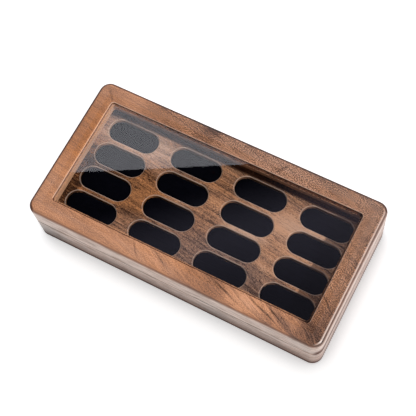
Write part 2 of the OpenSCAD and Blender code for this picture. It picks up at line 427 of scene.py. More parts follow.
def studio_fill():
    """Even light for matt surfaces, white to look at, and a dark ceiling to mirror."""
    world = bpy.data.worlds.new("studio")
    bpy.context.scene.world = world
    world.use_nodes = True
    tree = world.node_tree
    tree.nodes.clear()
    ray = add_node(tree, "ShaderNodeLightPath").outputs
    direction = add_node(tree, "ShaderNodeTexCoord").outputs["Generated"]
    x, y, z = add_node(tree, "ShaderNodeSeparateXYZ", {0: direction}).outputs
    overhead = ease(tree, z, *OVERHEAD)
    mirrored = reckon(
        tree, "MULTIPLY_ADD", overhead,
        reckon(tree, "SUBTRACT", ceiling_gleam(tree, x, y, z), 1.0), 1.0,
    )
    seen = reckon(tree, "MAXIMUM", ray["Is Camera Ray"], ray["Is Transmission Ray"])
    fill = reckon(tree, "MAXIMUM", seen, FILL)
    apart = reckon(tree, "SUBTRACT", mirrored, fill)
    strength = reckon(tree, "MULTIPLY_ADD", ray["Is Glossy Ray"], apart, fill)
    tinted = reckon(tree, "MULTIPLY", ray["Is Glossy Ray"], overhead)
    hue = mix_colours(tree, tinted, (1, 1, 1, 1), GLEAM_TINT)
    sky = add_node(tree, "ShaderNodeBackground", {"Color": hue, "Strength": strength})
    add_node(tree, "ShaderNodeOutputWorld", {"Surface": sky.outputs[0]})


studio_fill()
print("fill:", FILL, "of a white surface's brightness")


# %% [markdown]
# ## Walnut
#
# Oiled walnut under a thin satin coat. Its colours lie on one ramp, from the nearly black
# late wood to the light sapwood, and the pattern of the grain picks a place on that ramp.
# A second, gentle tint makes some stretches cooler and others warmer.

# %% Tones of walnut
RING_WIDTH = 8.5
WALNUT_TONES = (
    (0.0, (0.035, 0.017, 0.012, 1)),
    (0.3, (0.150, 0.073, 0.045, 1)),
    (0.55, (0.285, 0.136, 0.081, 1)),
    (0.8, (0.460, 0.215, 0.111, 1)),
    (1.0, (0.600, 0.300, 0.170, 1)),
)
COOL_WOOD = (0.94, 1.10, 1.35, 1)
WARM_WOOD = (1.06, 0.90, 0.65, 1)
END_GRAIN = (0.80, 0.76, 0.75, 1)
# Painted lamplight: the window's left wall, pale as if the lamp on the right lit it.
LAMPLIT_WALL_TONE = (0.60, 0.33, 0.20, 1)
# Painted highlight on the rounds and chamfers.
HIGHLIGHT_TONE = (0.72, 0.52, 0.42, 1)
# Painted reflection: the sides paled as if they mirrored the white table.
SIDE_REFLECTION_TONE = (0.78, 0.61, 0.52, 1)
SIDE_LINES = (0.50, 0.45, 0.42, 1)
# Painted shade, multiplied into the colour where the dark mask is.
SHADED = (0.19, 0.10, 0.08, 1)
COAT_ROUGHNESS = 0.38
COAT_IOR = 1.6
print("tones of walnut:", len(WALNUT_TONES))


# %% [markdown]
# A board differs from end to end, which no even noise shows. So soft spots of darker or
# lighter wood are laid over the pattern. A spot is an oval, long, round or slanting, that
# fades out towards its edge.

# %% Spots and swings
SPOT_FADES = (0.15, 1.0)


def soft_spots(tree, flat, spots, total):
    """Adds soft ovals to total: (middle x, y, reach along, across, turn, how much)."""
    for middle_x, middle_y, along, across, turn, much in spots:
        local = add_node(
            tree, "ShaderNodeMapping",
            {"Vector": flat, "Location": (middle_x, middle_y, 0),
             "Rotation": (0, 0, math.radians(turn)), "Scale": (along, across, 1)},
            vector_type="TEXTURE",
        ).outputs[0]
        far = add_node(tree, "ShaderNodeVectorMath", {0: local}, operation="LENGTH")
        near = other_than(tree, ease(tree, far.outputs["Value"], *SPOT_FADES))
        total = reckon(tree, "MULTIPLY_ADD", near, much, total)
    return total


def level(tree, flat, amounts):
    """A plain level with soft spots on it: amounts is the level and its spots."""
    plain, spots = amounts
    return soft_spots(tree, flat, spots, plain)


def swing(tree, value, reach, total):
    """Adds a noise to total so that it swings by half of reach to both sides."""
    return reckon(tree, "MULTIPLY_ADD", reckon(tree, "SUBTRACT", value, 0.5), reach, total)


print("a spot fades from", SPOT_FADES[0], "to", SPOT_FADES[1], "of its reach")


# %% [markdown]
# ### Grain
#
# Along a board run its yearly rings, with a dark line of late wood at the end of each, and
# between them streaks, fine threads and short open pores. All of them bend together. An
# image of wood would repeat and would need laying out on every face. Here one value rises
# across the grain and bends with it, and each part of the grain is a noise drawn out
# along that value, so the pattern runs through the board and over its edges.

# %% Grain
BOARD_LEFT = 100.0
WARP_STRETCH = 0.25
WARPS = ((0.022, 24.0), (0.08, 5.0))
STREAK_STRETCH = 0.05
THREAD_STRETCH = 0.10
PORE_STRETCH = 0.35


def grain_field(tree, x, y, z, slope, bend, lean):
    """One value that rises across the grain: rings fall by slope to the right, bend
    more by bend, lean in Z, and wander a little."""
    from_left = reckon(tree, "ADD", x, BOARD_LEFT)
    falling = reckon(tree, "MULTIPLY_ADD", from_left, bend, slope)
    field = reckon(tree, "MULTIPLY_ADD", falling, from_left, y)
    field = reckon(tree, "MULTIPLY_ADD", z, lean, field)
    warp_at = vector_of(tree, reckon(tree, "MULTIPLY", x, WARP_STRETCH), y, z)
    for scale, reach in WARPS:
        field = reckon(tree, "MULTIPLY_ADD", noise(tree, warp_at, scale, 1.0), reach, field)
    return field


def along_grain(tree, x, field, z, stretch):
    """Coordinates in which a noise is drawn out along the grain."""
    return vector_of(tree, reckon(tree, "MULTIPLY", x, stretch), field, z)


def walnut_grain(tree, place, x, field, z):
    """The parts of the grain: late wood, broad bands, streaks, threads, pores and fleck."""
    rings = reckon(tree, "FRACT", reckon(tree, "DIVIDE", field, RING_WIDTH))
    some_rings = ease(tree, noise(tree, place, 0.035, 1.0), 0.38, 0.6)
    late = product(tree, ease(tree, rings, 0.55, 0.98), some_rings)
    drawn_out = along_grain(tree, x, field, z, STREAK_STRETCH)
    broad = noise(tree, drawn_out, 0.22, 3.0, 0.6)
    streaks = noise(tree, drawn_out, 0.9, 4.0, 0.7)
    threads = noise(tree, along_grain(tree, x, field, z, THREAD_STRETCH), 1.5, 2.0)
    pores = noise(tree, along_grain(tree, x, field, z, PORE_STRETCH), 2.0, 1.0)
    fleck = noise(tree, place, 1.9, 1.0, 0.6)
    return (
        late, broad, streaks, ease(tree, threads, 0.53, 0.62), ease(tree, pores, 0.50, 0.62),
        ease(tree, fleck, 0.42, 0.58),
    )


print("rings", RING_WIDTH, "mm wide")


# %% [markdown]
# ### Edges, ends, painted light and painted shade
#
# Wood isn't the same all over a box. End grain drinks more oil and turns darker. Light and
# shade are also painted into the colour: painted highlights on rounded edges, painted
# lamplight on the window's left wall, a painted reflection on the sides, and painted shade
# in narrow gaps, on walls that little light reaches and at the foot. One way is to split
# the solid into faces with a finish each, but that leaves hard borders. Instead, masks are
# worked out from where a point lies and which way its face looks, and they fade softly. They
# read the object's own coordinates and normals, so they move with the lid.
#
# The first of them lie inside the outer rounds: painted lamplight on the window's left wall,
# painted highlight on the rounds of the window and the pockets, and painted shade on the
# walls that little light reaches.

# %% Places round the window and the pockets
# Millimetres: X and Y from the middle of the box, Z up from the table. Each pair says
# where a mask starts to change and where it ends.
TOP_IN_X = (91.5, 94)
TOP_IN_Y = (41.5, 44)
LID_STARTS = (30, 31)
RIM_OF_WINDOW = (39.1, 39.6)
TRAY_TOP = (23.3, 23.6)
LEFT_WALL = (85.5, 86.2)
FRONT_WALL = (36.3, 36.8)
BACK_WALL = (36.4, 36.7)
RIGHT_WALL = (84, 87.3)
GLASS_END = (87.2, 87.5)
GLASS_SIDE = (37.2, 37.5)
GLASS_MIDDLE = 38.1
GLASS_GAP = (1.3, 1.5)


def inner_places(tree, where, facing):
    """Inside the outer rounds: their own mask, then painted lamplight on the window's left
    wall, painted highlight on the rounds of window and pockets, and painted shade on the
    wood that little light reaches."""
    x, y, z = where
    facing_x, facing_y, facing_z = facing
    inside = product(tree, within(tree, x, *TOP_IN_X), within(tree, y, *TOP_IN_Y))
    in_lid = ease(tree, z, *LID_STARTS)
    below_rim = other_than(tree, ease(tree, z, *RIM_OF_WINDOW))
    to_left = minus(tree, x)
    # Painted lamplight on the window's left wall.
    left_wall = product(tree, inside, ease(tree, to_left, *LEFT_WALL), in_lid, below_rim)

    # Painted shade on the front rim's round, which faces away from the lamp.
    front_wall = ease(tree, minus(tree, y), *FRONT_WALL)
    front_wall = product(tree, front_wall, ease(tree, facing_y, 0.15, 0.4))
    # Painted highlight on the rounds of the window and the pockets, weaker on chamfers of the
    # base that face the lamp.
    slanted = product(tree, ease(tree, facing_z, 0.25, 0.5), within(tree, facing_z, 0.90, 0.985))
    less = product(tree, ease(tree, facing_x, 0.15, 0.5), from_to(tree, in_lid, 0.5, 0.0))
    highlight_mask = product(
        tree, inside, slanted, other_than(tree, less), other_than(tree, front_wall)
    )

    # Painted shade where little light reaches: the back and right walls under the rim, the tray
    # below them, and a thin line by the glass.
    back_wall = ease(tree, y, *BACK_WALL)
    back_wall = product(tree, back_wall, from_to(tree, ease(tree, to_left, 0, 40), 0.85, 0.65))
    right_wall = product(tree, ease(tree, x, *RIGHT_WALL), 0.6)
    unlit_wall = product(
        tree, below_rim, ease(tree, z, *TRAY_TOP), either(tree, back_wall, right_wall)
    )
    by_glass = either(tree, beyond(tree, x, *GLASS_END), beyond(tree, y, *GLASS_SIDE))
    from_glass = reckon(tree, "SUBTRACT", z, GLASS_MIDDLE)
    gap = product(tree, by_glass, within(tree, from_glass, *GLASS_GAP))
    shaded = product(tree, inside, either(tree, unlit_wall, front_wall, gap))
    return inside, left_wall, highlight_mask, shaded


print("the top lies within", TOP_IN_X[0], "and", TOP_IN_Y[0], "mm of the middle")


# %% [markdown]
# The outer rounds of the lid differ with the way they look. At the right the round carries
# a painted highlight, a pale line. At the back and the left it carries a line of painted
# shade, and at the front a weaker one.

# %% Places on the outer rounds
TOP_ROUND = (36.5, 37.0)


def outer_places(tree, where, facing, inside):
    """On the outer rounds of the lid: the painted highlight at the right, and painted shade."""
    facing_x, facing_y, facing_z = facing
    on_round = product(tree, other_than(tree, inside), ease(tree, where[2], *TOP_ROUND))
    turned_away = either(
        tree, ease(tree, facing_y, 0.1, 0.3), ease(tree, minus(tree, facing_x), 0.1, 0.3)
    )
    # Painted shade on the rounds turned to the back and the left, and weaker on the front.
    far_round = product(
        tree, on_round, turned_away, ease(tree, facing_z, 0.0, 0.3),
        within(tree, facing_z, 0.86, 0.98), 0.9,
    )
    near_round = product(
        tree, on_round, ease(tree, facing_z, 0.3, 0.5), within(tree, facing_z, 0.76, 0.86), 0.5
    )
    # Painted highlight along the round at the right.
    right_highlight = product(
        tree, on_round, ease(tree, facing_x, 0.15, 0.3), ease(tree, facing_z, 0.82, 0.88), 0.6
    )
    return right_highlight, either(tree, far_round, near_round)


print("the outer rounds start at", TOP_ROUND[0], "mm")


# %% [markdown]
# The skirt is the four sides. Its two ends show end grain. Its foot carries painted shade,
# darker towards the table, with a painted contact shadow where the board stands, and so
# does the wood by the seam at the right end.

# %% Places on the sides
SKIRT_AT_END = (94, 98)
SKIRT_AT_SIDE = (44, 48)
FOOT_LINE = 3.5
FOOT_FADES = (3.0, 19.0)
SEAM_HEIGHT = 25.0


def skirt_places(tree, where, facing):
    """Round the four sides: the skirt, its end grain, and painted shade at its foot and seam."""
    x, y, z = where
    at_end = beyond(tree, x, *SKIRT_AT_END)
    on_skirt = either(tree, at_end, beyond(tree, y, *SKIRT_AT_SIDE))
    skirt = product(tree, on_skirt, within(tree, facing[2], 0.3, 0.8))
    end_grain = product(tree, at_end, beyond(tree, facing[0], 0.3, 0.8))
    # Painted shade at the foot: a line of contact shadow, and darker towards the table.
    foot_line = within(tree, reckon(tree, "SUBTRACT", z, FOOT_LINE), 1.0, 2.4)
    above_foot = from_to(tree, ease(tree, z, *FOOT_FADES), 0.68, 0.0)
    foot = product(tree, on_skirt, either(tree, foot_line, above_foot))
    # Painted shade by the seam at the right end, stronger towards the front.
    seam = product(
        tree, within(tree, reckon(tree, "SUBTRACT", z, SEAM_HEIGHT), 1.5, 6.0),
        ease(tree, x, *SKIRT_AT_END), from_to(tree, ease(tree, y, -40, 40), 0.9, 0.2),
    )
    return skirt, end_grain, either(tree, foot, seam)


def walnut_places(tree, where):
    """All the masks of the walnut by name, each from 0 to 1."""
    normal = add_node(tree, "ShaderNodeTexCoord").outputs["Normal"]
    facing = add_node(tree, "ShaderNodeSeparateXYZ", {0: normal}).outputs
    inside, left_wall, highlight_mask, shaded = inner_places(tree, where, facing)
    right_highlight, shaded_round = outer_places(tree, where, facing, inside)
    skirt, end_grain, shaded_skirt = skirt_places(tree, where, facing)
    return {
        "inside": inside,
        "left_wall": left_wall,
        "highlight_mask": either(tree, highlight_mask, right_highlight),
        # The dark mask is all painted shade: walls, rounds, foot and seam.
        "dark": either(tree, shaded, shaded_round, shaded_skirt),
        "skirt": skirt,
        "end_grain": end_grain,
        "lying": beyond(tree, facing[2], 0.9, 0.98),
    }


print("skirt from", SKIRT_AT_SIDE[0], "mm to the side, seam at", SEAM_HEIGHT, "mm")


# %% [markdown]
# ### The sides
#
# From the side, a board shows its grain as fine level lines. Here they are one more
# noise, drawn out along the sides, with the same lines running on round the corners.

# %% Grain on the sides
SIDE_STRETCH = (0.05, 0.32)


def side_grain(tree, where):
    """The fine lines along the sides of the box, as a mask."""
    x, y, z = where
    stretch_along, stretch_up = SIDE_STRETCH
    along = reckon(tree, "MULTIPLY", reckon(tree, "ADD", x, y), stretch_along)
    place = vector_of(tree, along, reckon(tree, "MULTIPLY", z, stretch_up), 0)
    return ease(tree, noise(tree, place, 1.0, 4.0, 0.8), 0.40, 0.66)


print("lines on the sides drawn out", round(SIDE_STRETCH[1] / SIDE_STRETCH[0], 1), "times")


# %% [markdown]
# ### From pattern to colour
#
# The parts of the grain are added up to one number, which swings about 0. The tone of the
# place is added, and the sum picks a colour on the ramp, so that streaks get the true
# colours of darker and lighter wood. Flecks show only where the wood lies flat.

# %% Pattern and tone
BROAD_SWING = 0.7
STREAK_SWING = 1.5
LATE_DEPTH = 0.20
THREAD_DEPTH = 0.22
PORE_DEPTH = 0.22
FIGURE_LIFT = 0.03
WARMTH_SWING = 0.8


def walnut_figure(tree, place, flat, grain, lying, contrast, flecks):
    """The pattern of the grain around 0, fuller or fainter by its spots of contrast."""
    late, broad, streaks, threads, pores, fleck = grain
    figure = swing(tree, broad, BROAD_SWING, reckon(tree, "MULTIPLY", late, -LATE_DEPTH))
    figure = swing(tree, streaks, STREAK_SWING, figure)
    figure = reckon(tree, "MULTIPLY_ADD", threads, -THREAD_DEPTH, figure)
    figure = reckon(tree, "MULTIPLY_ADD", pores, -PORE_DEPTH, figure)
    figure = reckon(tree, "ADD", figure, FIGURE_LIFT)
    figure = product(tree, figure, level(tree, flat, contrast))
    gathered = product(tree, noise(tree, place, 0.2, 2.0), 2.0)
    fleck_depth = product(tree, gathered, lying, level(tree, flat, flecks))
    return swing(tree, fleck, fleck_depth, figure)


def walnut_tone(tree, flat, figure, broad, tone, warmth):
    """The colour of the wood: the pattern on the ramp of tones, then the tint."""
    depth = reckon(tree, "ADD", figure, level(tree, flat, tone), clamp=True)
    ramp = add_node(tree, "ShaderNodeValToRGB", {"Fac": depth})
    stops = ramp.color_ramp.elements
    for stop, (at, colour) in zip(stops, (WALNUT_TONES[0], WALNUT_TONES[-1])):
        stop.position = at
        stop.color = colour
    for at, colour in WALNUT_TONES[1:-1]:
        stops.new(at).color = colour
    warm = swing(tree, broad, WARMTH_SWING, level(tree, flat, warmth))
    tint = mix_colours(tree, reckon(tree, "ADD", warm, 0.0, clamp=True), COOL_WOOD, WARM_WOOD)
    return mix_colours(tree, 1.0, ramp.outputs[0], tint, "MULTIPLY")


print("figure: streaks", STREAK_SWING, "threads", THREAD_DEPTH, "pores", PORE_DEPTH)


# %% [markdown]
# ### The finish
#
# Oil soaks in and leaves the grain open, and a thin satin coat on top mirrors softly. The
# Principled shader has a coat of its own for that. It is thinner where the wood lies
# flat, in the dark side lines and where shade is painted, and left out towards the middle
# of the box, so that the grain stays rich there. The streaks also vary the roughness, and a
# bump presses the pores in.

# %% Walnut finish
SIDE_LINE_SHARE = 0.80
ABOVE_SEAM = (17, 23)
# How much of the painted lamplight and painted highlight colours is mixed in.
PALE_SHARE = 0.6
LYING_BARE = 0.6
WOOD_SPECULAR = 0.04
PORE_PRESS = 0.6
GRAIN_RELIEF = 0.08 * MM


def treat_places(tree, colour, places, side_lines, z):
    """The colour with the sides' painted reflection, the ends, the side lines, painted
    light and painted shade laid over it.
    """
    # Painted reflection on the sides, with less of it below the seam, nearer the table.
    skirt_share = from_to(tree, ease(tree, z, *ABOVE_SEAM), 0.40, 0.72)
    skirt_share = product(tree, places["skirt"], skirt_share)
    colour = mix_colours(tree, skirt_share, colour, SIDE_REFLECTION_TONE)
    colour = mix_colours(tree, places["end_grain"], colour, END_GRAIN, "MULTIPLY")
    colour = mix_colours(tree, side_lines, colour, SIDE_LINES, "MULTIPLY")
    # Painted lamplight on the left wall and painted highlight on the rounds.
    for name, pale in (("left_wall", LAMPLIT_WALL_TONE), ("highlight_mask", HIGHLIGHT_TONE)):
        colour = mix_colours(tree, product(tree, places[name], PALE_SHARE), colour, pale)
    # Painted shade multiplied in.
    return mix_colours(tree, places["dark"], colour, SHADED, "MULTIPLY")


def walnut_finish(name, slope, bend, lean, tone, warmth, contrast, flecks):
    """Walnut from its grain field. tone, warmth, contrast and flecks are each a plain
    level and its soft spots."""
    material, tree, shader = new_finish(name)
    place, where = place_in_mm(tree)
    x, y, z = where
    flat = vector_of(tree, x, y, 0)
    field = grain_field(tree, x, y, z, slope, bend, lean)
    grain = walnut_grain(tree, place, x, field, z)
    broad, streaks, pores = grain[1], grain[2], grain[4]
    places = walnut_places(tree, where)
    side_lines = product(tree, places["skirt"], side_grain(tree, where), SIDE_LINE_SHARE)

    figure = walnut_figure(tree, place, flat, grain, places["lying"], contrast, flecks)
    colour = walnut_tone(tree, flat, figure, broad, tone, warmth)
    colour = treat_places(tree, colour, places, side_lines, z)
    bare = either(
        tree, places["dark"], product(tree, places["lying"], LYING_BARE), places["inside"],
        side_lines,
    )
    roughness = reckon(tree, "MULTIPLY_ADD", streaks, 0.16, 0.40)
    relief = reckon(tree, "MULTIPLY_ADD", pores, -PORE_PRESS, streaks)
    bump = add_node(
        tree, "ShaderNodeBump", {"Height": relief, "Strength": 0.3, "Distance": GRAIN_RELIEF}
    )
    tree.links.new(colour, shader.inputs["Base Color"])
    tree.links.new(roughness, shader.inputs["Roughness"])
    tree.links.new(other_than(tree, bare), shader.inputs["Coat Weight"])
    tree.links.new(bump.outputs[0], shader.inputs["Normal"])
    shader.inputs["Specular IOR Level"].default_value = WOOD_SPECULAR
    shader.inputs["Coat Roughness"].default_value = COAT_ROUGHNESS
    shader.inputs["Coat IOR"].default_value = COAT_IOR
    return material


print("satin coat: roughness", COAT_ROUGHNESS, "IOR", COAT_IOR)


# %% [markdown]
# ### The two boards
#
# The lid and the base are cut from two boards, so each has its own spots. The lid gets a
# few narrow slanting ones in its front rail, where a branch grew and left dark lines, and
# more fleck in its back and right rails.

# %% Spots of the lid
# A spot is (middle x, middle y, reach along, reach across, turn, how much).
# The spots at x -88 and -86.6 are painted light: a highlight on the window's left rim and
# lamplight on its wall.
LID_TONE = (0.74, (
    (-40, 46, 50, 26, 0, -0.30), (60, 50, 90, 26, 0, -0.22), (95, -34, 28, 30, 0, -0.32),
    (-20, 45, 16, 14, 0, -0.14), (-74, 44, 16, 14, 0, 0.08), (62, 44, 20, 14, 0, -0.06),
    (5, 45, 20, 12, 0, -0.14), (-22, 44, 10, 8, 0, -0.24), (-86, 44, 14, 10, 0, -0.08),
    (-95, 12, 30, 34, 0, -0.15), (22, -43, 24, 14, 0, -0.16), (100, 14, 30, 50, 0, -0.28),
    (-20, -44, 44, 16, 0, 0.10), (90, -46, 16, 16, 0, -0.10), (30, -45, 12, 8, 0, -0.08),
    (70, -45, 12, 8, 0, -0.15), (96, -38, 12, 14, 0, -0.07), (48, -43, 20, 12, 0, 0.26),
    (76, -43, 12, 14, 0, 0.16), (95, -42, 10, 12, 0, -0.08), (-94, 32, 8, 8, 0, -0.06),
    (96.5, 0, 2.2, 60, 0, -0.10), (31, 43, 6, 1.4, 50, -0.30), (28, 41, 9, 3.0, 48, -0.10),
    (-91, 42, 8, 1.2, -47, -0.18), (-26, -42, 10, 0.8, -52, -0.26),
    (-8, -42, 12, 0.8, -30, -0.26), (-88, 0, 1.2, 40, 0, 0.2), (-86.6, 24, 2.2, 18, 0, 0.4),
    (35, -42, 19, 0.9, -19, -0.40), (58, -42, 17, 0.9, -19, -0.40),
    (66, -41, 12, 0.7, -24, -0.30), (92, -22.5, 9, 0.9, -42, -0.45),
    (84, -36, 16, 2.5, -30, -0.1),
))
LID_WARMTH = (0.50, (
    (-95, 12, 30, 44, 0, 0.40), (50, 48, 110, 22, 0, -0.30), (96, 30, 20, 60, 0, -0.25),
))
LID_CONTRAST = (0.42, (
    (60, 50, 110, 30, 0, 0.1), (80, -45, 50, 20, 0, 0.20), (50, -45, 50, 20, 0, 0.20),
    (-20, 45, 60, 20, 0, 0.45),
))
LID_FLECKS = (0.32, (
    (40, 46, 110, 26, 0, 0.62), (96, 10, 26, 70, 0, 0.62), (-30, 46, 50, 24, 0, 0.60),
))
print("spots on the lid:", len(LID_TONE[1]))


# %% [markdown]
# The base is darker at the left and lighter at the right and the back. Its left is also
# redder, and small spots even out or deepen the narrow bars of wood between the pads. A
# narrow strip along the left wall, dark and red, is painted shade under the window's ledge.

# %% Spots of the base
# The spots at x -84.4 and -89.5 are painted shade under the window's left ledge.
BASE_TONE = (0.60, (
    (-76, 0, 30, 16, 0, -0.42), (0, -24, 44, 22, 0, -0.12), (62, 8, 60, 34, 0, 0.24),
    (-68, 26, 40, 15, 0, 0.46), (-50, 10, 26, 5, -20, -0.25), (25, 1, 22, 9, 0, 0.40),
    (1, 10, 14, 8, 0, 0.36), (-45, 9, 12, 6, 0, -0.1), (2, -1, 12, 5, 0, -0.10),
    (24, 19, 16, 6, 0, 0.14), (52, 16, 34, 12, 0, 0.38), (48, -18, 14, 10, 0, 0.16),
    (46, -28, 12, 8, 0, -0.18), (-23, -18, 16, 6, 0, -0.14), (23, -18, 14, 6, 0, -0.16),
    (-45, -9, 12, 9, 0, 0.04), (-22, 0, 14, 6, 0, 0.08), (-23, 19, 12, 5, 0, -0.08),
    (-84.4, -18, 4, 36, 0, -0.5), (-68, 20, 24, 8, 0, 0.1), (-89.5, -28, 5.0, 46, 0, -0.5),
    (-46, 26, 14, 20, 0, 0.16), (30, -50, 14, 5, 0, -0.25), (-92, -50, 22, 6, 0, -0.55),
    (85, -50, 14, 5, 0, 0.15), (-45, -19, 16, 6, 0, -0.24), (-46, 0, 14, 6, 0, -0.12),
    (-68, 0, 14, 6, 0, -0.12), (23, 0, 12, 6, 0, 0.10), (66, -18, 14, 6, 0, -0.10),
    (66, 18, 14, 6, 0, 0.08), (-23, 18, 12, 6, 0, 0.05), (0, 18, 10, 6, 0, -0.05),
    (46, -18, 12, 6, 0, -0.10), (46, 0, 12, 6, 0, -0.09),
))
# The spot at x -84 warms that painted shade.
BASE_WARMTH = (0.45, (
    (-62, -6, 56, 24, 0, 1.0), (20, -24, 60, 20, 0, -0.45), (66, 16, 40, 24, 0, -0.3),
    (25, 1, 22, 9, 0, -0.5), (-68, 27, 46, 14, 0, -0.8), (-10, 22, 30, 14, 0, 0.2),
    (0, 9, 14, 10, 0, 0.2), (-22, 0, 14, 6, 0, -0.3), (-84, -14, 16, 36, 0, 0.8),
))
BASE_CONTRAST = (0.95, ())
BASE_FLECKS = (0.34, ())
print("spots on the base:", len(BASE_TONE[1]))


# %% [markdown]
# With its spots, its slope and its bend, each board gets a finish of its own. The CAD
# solid of a board has one slot for its material, and the finish goes straight into it.

# %% Walnut on the lid and the base
walnut_lid = walnut_finish(
    "walnut_lid", slope=0.10, bend=0.0009, lean=1.9,
    tone=LID_TONE, warmth=LID_WARMTH, contrast=LID_CONTRAST, flecks=LID_FLECKS,
)
walnut_base = walnut_finish(
    "walnut_base", slope=0.06, bend=0.0004, lean=1.9,
    tone=BASE_TONE, warmth=BASE_WARMTH, contrast=BASE_CONTRAST, flecks=BASE_FLECKS,
)
for node_name, finish in (("lid_frame", walnut_lid), ("base_block", walnut_base)):
    nodes[node_name].material_slots[0].material = finish
print("walnut on", nodes["lid_frame"].name, "and", nodes["base_block"].name)


# %% [markdown]
# ## The window
#
# Clear float glass. Its shader is smooth glass for all that is seen through it, and
# plainly transparent to rays that look for a lamp, so light reaches the pads directly.

# %% Glass
GLASS_COLOUR = (0.97, 0.985, 0.98, 1)
GLASS_IOR = 1.5
LAMPLIGHT_THROUGH = (0.9, 0.91, 0.905, 1)


def clear_glass():
    """Smooth glass to the eye, and a pale filter to the light that falls through it."""
    material, tree, shader = new_finish("clear_glass")
    shader.inputs["Base Color"].default_value = GLASS_COLOUR
    shader.inputs["Roughness"].default_value = 0.0
    shader.inputs["IOR"].default_value = GLASS_IOR
    shader.inputs["Transmission Weight"].default_value = 1.0
    open_way = add_node(tree, "ShaderNodeBsdfTransparent", {"Color": LAMPLIGHT_THROUGH})
    ray = add_node(tree, "ShaderNodeLightPath").outputs
    both = add_node(
        tree, "ShaderNodeMixShader",
        {0: either(tree, ray["Is Shadow Ray"], ray["Is Diffuse Ray"]),
         1: shader.outputs[0], 2: open_way.outputs[0]},
    )
    output = next(n for n in tree.nodes if n.type == "OUTPUT_MATERIAL")
    tree.links.new(both.outputs[0], output.inputs["Surface"])
    return material


nodes["window_glass"].material_slots[0].material = clear_glass()
glass_low, glass_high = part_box("window_glass")
print("glass", [round(v / MM, 1) for v in glass_high - glass_low], "mm")


# %% [markdown]
# ## Brass and nickel
#
# The hinges are small brushed brass pieces and the magnets are nickel plated discs. A
# brushed face is fine streaks in one direction, in the roughness as well as in relief.
# A noise drawn out along X gives them, and a slower one stains the metal a little.

# %% Metals
BRASS = (0.80, 0.58, 0.26, 1)
STAINED_BRASS = (0.62, 0.42, 0.17, 1)
BRASS_ROUGHNESS = 0.3
BRASS_STROKES = (0.12, 1.0, 1.0)
NICKEL = (0.66, 0.65, 0.63, 1)
STAINED_NICKEL = (0.56, 0.55, 0.53, 1)
NICKEL_ROUGHNESS = 0.22
NICKEL_STROKES = (1.0, 1.0, 1.0)
STROKE_SCALE = 3.0
STAIN_SCALE = 0.35
STROKE_ROUGHNESS = 0.22
STROKE_RELIEF = 0.02 * MM


def brushed_metal(name, colour, stained, roughness, stretch):
    """A metal with strokes drawn out along the smaller part of stretch, and stains."""
    material, tree, shader = new_finish(name)
    place, _axes = place_in_mm(tree)
    along = add_node(
        tree, "ShaderNodeVectorMath", {0: place, 1: stretch}, operation="MULTIPLY"
    ).outputs[0]
    strokes = noise(tree, along, STROKE_SCALE, detail=3.0, roughness=0.6)
    stains = noise(tree, place, STAIN_SCALE, detail=3.0, roughness=0.6)
    shade = mix_colours(tree, ease(tree, stains, 0.35, 0.75), colour, stained)
    tree.links.new(shade, shader.inputs["Base Color"])
    rough = reckon(tree, "MULTIPLY_ADD", strokes, STROKE_ROUGHNESS, roughness - 0.08)
    tree.links.new(rough, shader.inputs["Roughness"])
    shader.inputs["Metallic"].default_value = 1.0
    bump = add_node(
        tree, "ShaderNodeBump",
        {"Height": strokes, "Strength": 0.3, "Distance": STROKE_RELIEF},
    )
    tree.links.new(bump.outputs[0], shader.inputs["Normal"])
    return material


brass = brushed_metal("brushed_brass", BRASS, STAINED_BRASS, BRASS_ROUGHNESS, BRASS_STROKES)
nickel = brushed_metal(
    "nickel_plate", NICKEL, STAINED_NICKEL, NICKEL_ROUGHNESS, NICKEL_STROKES
)
for node_name, node in nodes.items():
    if node_name.startswith("hinge_"):
        node.material_slots[0].material = brass
    if "_magnet_" in node_name:
        node.material_slots[0].material = nickel
print("brass and nickel on", sum("hinge" in n or "magnet" in n for n in nodes), "nodes")


# %% [markdown]
# ## The velvet pads
#
# Each pocket holds a foam pad in black velvet, slit along its middle so that a ring's
# band is pinched between two cheeks. All are of one size, so one is made and copied.
# Cloth is tuned for things of about a metre, so the pad is made ten times too large
# and scaled down at the end. Its sizes are measured from the solid that it stands for.

# %% Measure a pad and its slit
PAD_NAMES = sorted(name for name in nodes if name.startswith("pad_c"))
BIG = 10.0
ORIGIN = (0, 0, 0)
pad_low, pad_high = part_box(PAD_NAMES[0])
pad_length, pad_width, pad_height = pad_high - pad_low
SLIT_DEPTH = 11 * MM
SLIT_WIDTH = 0.10 * MM
PAD_SLACK = 0.25 * MM
PAD_EDGE = 0.8 * MM
WALL_ROOM = 0.02 * MM
print("pad", [round(v / MM, 2) for v in (pad_length, pad_width, pad_height)], "mm")


# %% [markdown]
# Three tools shape the pads and the screws: a block of a given size, a bevel of chosen
# edges, and a modifier that is applied at once. By hand the edges would be picked with
# the mouse. Here they are picked by where their two ends lie.

# %% Tools for solid pieces
def block(name, low, high):
    """A box from its lowest to its highest corner, with its place in its mesh."""
    select_only()
    low, high = Vector(low), Vector(high)
    bpy.ops.mesh.primitive_cube_add(size=1, location=(low + high) / 2)
    piece = bpy.context.object
    piece.name = name
    piece.scale = high - low
    bpy.ops.object.transform_apply(location=True, rotation=True, scale=True)
    return piece


def bevel_edges(piece, chosen, width, segments):
    """Bevels the edges of piece for which chosen(first end, second end) is true."""
    select_only(piece)
    bpy.ops.object.mode_set(mode="EDIT")
    bpy.ops.mesh.select_mode(type="EDGE")
    bpy.ops.mesh.select_all(action="DESELECT")
    bpy.ops.object.mode_set(mode="OBJECT")
    for edge in piece.data.edges:
        ends = [piece.data.vertices[i].co for i in edge.vertices]
        edge.select = chosen(*ends)
    bpy.ops.object.mode_set(mode="EDIT")
    bpy.ops.mesh.bevel(offset=width, segments=segments, clamp_overlap=True)
    bpy.ops.object.mode_set(mode="OBJECT")


